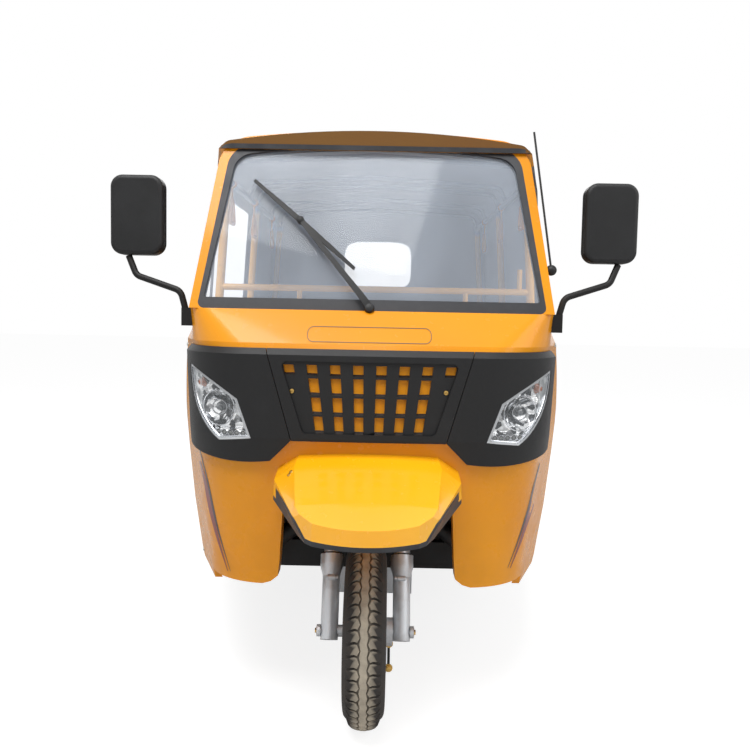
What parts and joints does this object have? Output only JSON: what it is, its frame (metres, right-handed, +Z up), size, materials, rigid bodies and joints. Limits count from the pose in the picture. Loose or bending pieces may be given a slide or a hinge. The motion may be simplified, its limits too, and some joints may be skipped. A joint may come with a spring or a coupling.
{
  "type": "passenger auto rickshaw",
  "caption": "Yellow three-wheeled passenger taxi with one steered front wheel, a glazed cab front, open doorways and a soft canopy over benches.",
  "frame": {"origin": "on the ground, in the middle of the vehicle's footprint", "axes": "+Z up, -Y the way it drives, +X to the driver's left"},
  "size_m": [1.47, 3.05, 1.7599],
  "materials": {
    "yellow_paint": "gloss yellow paint",
    "black_paint": "satin black paint",
    "black_plastic": "moulded matt black",
    "grey_floor": "grey floor paint",
    "reflector": "bright metallised",
    "lamp_case": "silvered plastic",
    "clear_lens": "clear polycarbonate",
    "screen_glass": "laminated glass, light tint",
    "rubber": "black rubber",
    "tyre": "dusty black rubber",
    "wheel_steel": "silver paint",
    "cast_aluminium": "satin cast aluminium",
    "chrome_steel": "chrome plate",
    "cast_steel": "dark cast metal",
    "mirror": "silvered glass",
    "seat_vinyl": "grained vinyl",
    "canopy_cloth": "coated canvas",
    "red_lens": "red lens"
  },
  "bodies": {
    "chassis": {"chassis_frame": "black_paint", "front_fascia": "yellow_paint", "side_panels": "yellow_paint", "lamp_bands": "black_plastic", "grille_panel": "black_plastic", "headlamp_housings": "lamp_case", "headlamp_reflectors": "reflector", "headlamp_lenses": "clear_lens", "nose_fender": "yellow_paint", "fender_trim": "rubber", "front_bulkhead": "black_paint", "dashboard": "black_plastic", "windscreen_seal": "rubber", "windscreen_glass": "screen_glass", "cab_frame": "yellow_paint", "cab_roof": "yellow_paint", "wiper": "black_plastic", "mirror_arms": "black_paint", "mirror_housings": "black_plastic", "mirror_glasses": "mirror", "antenna": "black_plastic", "floor_pan": "grey_floor", "body_side_left": "yellow_paint", "body_side_right": "yellow_paint", "rear_panel": "yellow_paint", "partition_panel": "yellow_paint", "body_frame": "yellow_paint", "canopy": "canopy_cloth", "rear_window": "clear_lens", "grab_handles": "yellow_paint", "seat_bases": "grey_floor", "seat_cushions": "seat_vinyl", "seat_backs": "seat_vinyl", "tail_lamps": "red_lens", "rear_bumper": "black_paint", "rear_axle": "cast_steel", "leaf_springs": "black_paint", "engine_block": "cast_aluminium", "drive_shaft": "cast_steel", "muffler": "cast_steel"},
    "steering": {"fork_yoke": "black_paint", "fork_stanchions": "chrome_steel", "fork_sliders": "cast_aluminium", "front_axle": "cast_aluminium", "handlebar": "black_paint", "handlebar_grips": "rubber", "instruments": "black_plastic"},
    "front_wheel": {"front_tyre": "tyre", "front_rim": "wheel_steel"},
    "rear_wheel_left": {"rear_tyre_left": "tyre", "rear_rim_left": "wheel_steel"},
    "rear_wheel_right": {"rear_tyre_right": "tyre", "rear_rim_right": "wheel_steel"}
  },
  "joints": [
    {"name": "steering_turn", "type": "hinge", "parent": "chassis", "child": "steering", "pos_m": [0, -1.1587, 0.2331], "axis": [0, 0.4226, 0.9063], "range_deg": [-40, 40]},
    {"name": "front_wheel_spin", "type": "hinge", "parent": "steering", "child": "front_wheel", "pos_m": [0, -1.195, 0.25], "axis": [1, 0, 0], "continuous": true},
    {"name": "rear_wheel_left_spin", "type": "hinge", "parent": "chassis", "child": "rear_wheel_left", "pos_m": [0.57, 0.955, 0.25], "axis": [1, 0, 0], "continuous": true},
    {"name": "rear_wheel_right_spin", "type": "hinge", "parent": "chassis", "child": "rear_wheel_right", "pos_m": [-0.57, 0.955, 0.25], "axis": [1, 0, 0], "continuous": true}
  ]
}
